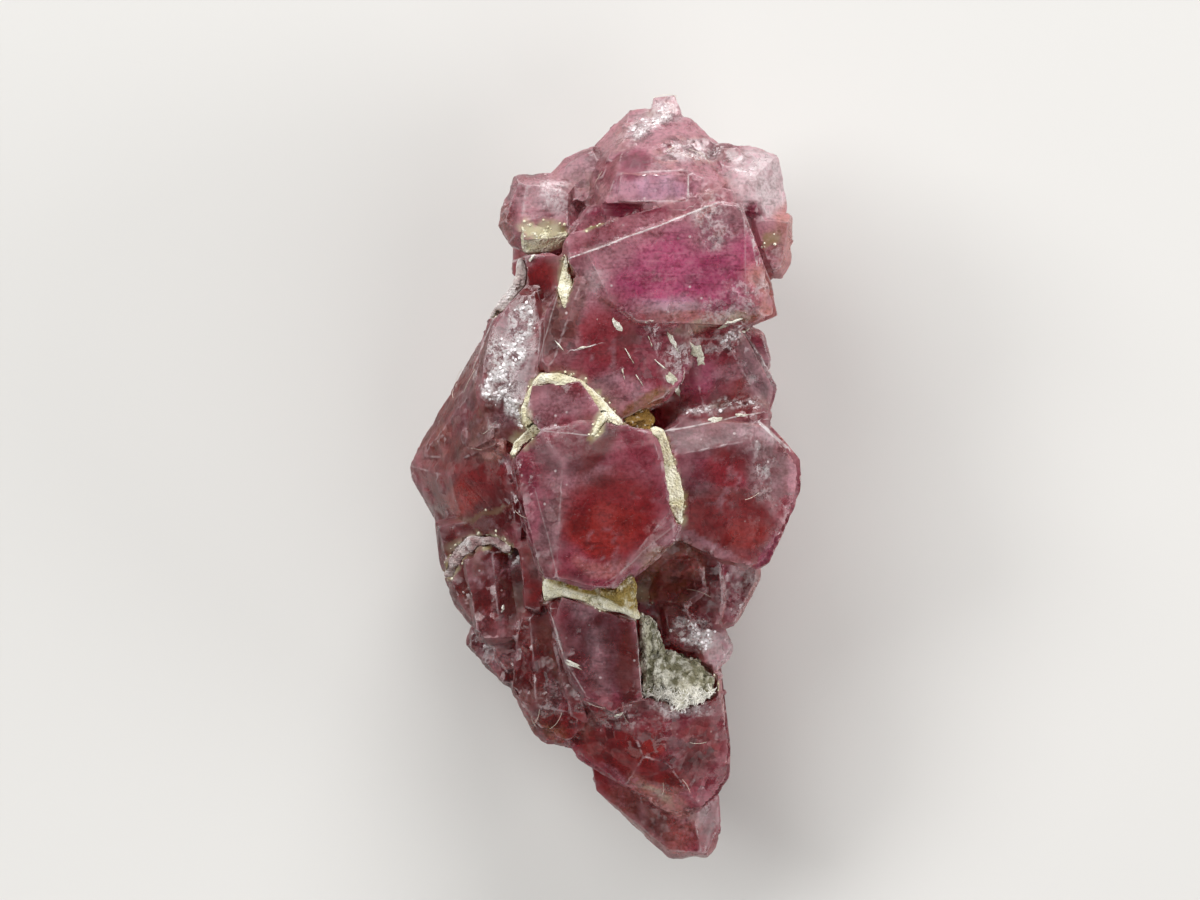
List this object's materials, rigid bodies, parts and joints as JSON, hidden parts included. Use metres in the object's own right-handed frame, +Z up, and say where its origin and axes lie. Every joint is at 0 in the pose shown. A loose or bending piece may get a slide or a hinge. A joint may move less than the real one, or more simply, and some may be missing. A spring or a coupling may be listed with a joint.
{
  "type": "pezzottaite crystal",
  "caption": "Cluster of intergrown tabular pink crystals with pale clay and feldspar in its seams, lying on its broken back.",
  "frame": {"origin": "middle of the cluster's footprint, on the surface that it lies on", "axes": "+Z up, away from that surface; +Y from the narrow tail to the three-lobed head; +X to the right, seen from above with the head away from the viewer"},
  "size_m": [0.0104, 0.0202, 0.0087],
  "materials": {
    "crystal": "clear to cloudy raspberry pink, vitreous, lightly etched",
    "clay": "dry earthy cream clay, matte",
    "feldspar": "crumbly off-white feldspar, matte with small glints",
    "ochre": "iron-stained ochre clay, matte"
  },
  "bodies": {
    "root": {"crystal_cluster": "crystal", "clay_upper_seam": "clay", "clay_right_seam": "clay", "clay_lower_seam": "clay", "ochre_plug": "ochre", "feldspar_pocket": "feldspar", "clay_under_lobe": "clay", "clay_neck": "clay", "feldspar_edge": "feldspar", "feldspar_rim": "feldspar"}
  },
  "joints": []
}
